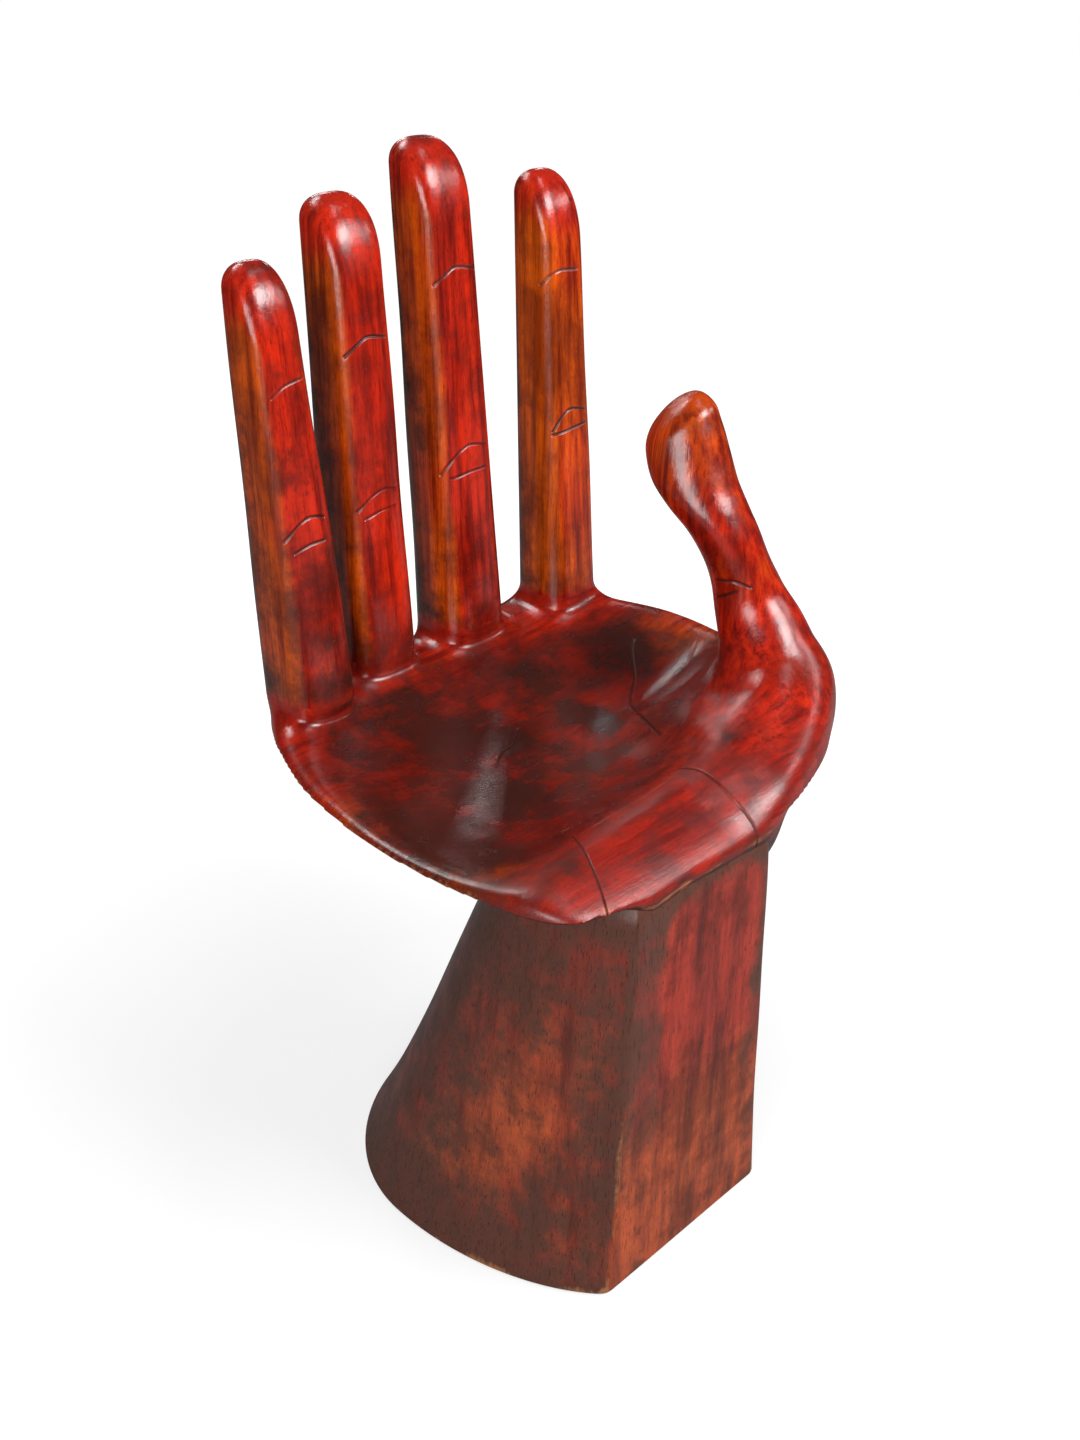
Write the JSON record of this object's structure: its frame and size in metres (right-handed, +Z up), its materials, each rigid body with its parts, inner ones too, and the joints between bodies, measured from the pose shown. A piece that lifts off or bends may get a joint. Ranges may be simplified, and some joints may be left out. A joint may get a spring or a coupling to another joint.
{
  "type": "carved wooden chair",
  "caption": "Solid wooden chair carved as an open upturned right hand standing on its wrist: the palm is the seat, the fingers are the back and the thumb is an armrest",
  "frame": {"origin": "on the floor, in the middle of the foot of the wrist", "axes": "+Z up; -Y is the flat front face of the wrist, where the sitter's legs hang; +X is the thumb side and +Y the fingers"},
  "size_m": [0.4896, 0.4815, 0.915],
  "materials": {
    "palm_wood": "dark red stain with black mottling under gloss lacquer",
    "finger_wood": "red to orange-brown stain over upright grain under gloss lacquer",
    "wrist_wood": "brown-red stain over upright grain under worn gloss lacquer",
    "dowel_wood": "bare wood, glued in"
  },
  "bodies": {
    "root": {"palm_slab": "palm_wood", "heel_block": "palm_wood", "little_finger_side_block": "palm_wood", "thumb_root_block": "palm_wood", "thumb": "finger_wood", "little_finger": "finger_wood", "ring_finger": "finger_wood", "middle_finger": "finger_wood", "index_finger": "finger_wood", "wrist_left_board": "wrist_wood", "wrist_middle_board": "wrist_wood", "wrist_right_board": "wrist_wood", "finger_dowels": "dowel_wood", "thumb_dowels": "dowel_wood", "wrist_board_dowels": "dowel_wood", "seat_dowels": "dowel_wood", "block_dowels": "dowel_wood"}
  },
  "joints": []
}
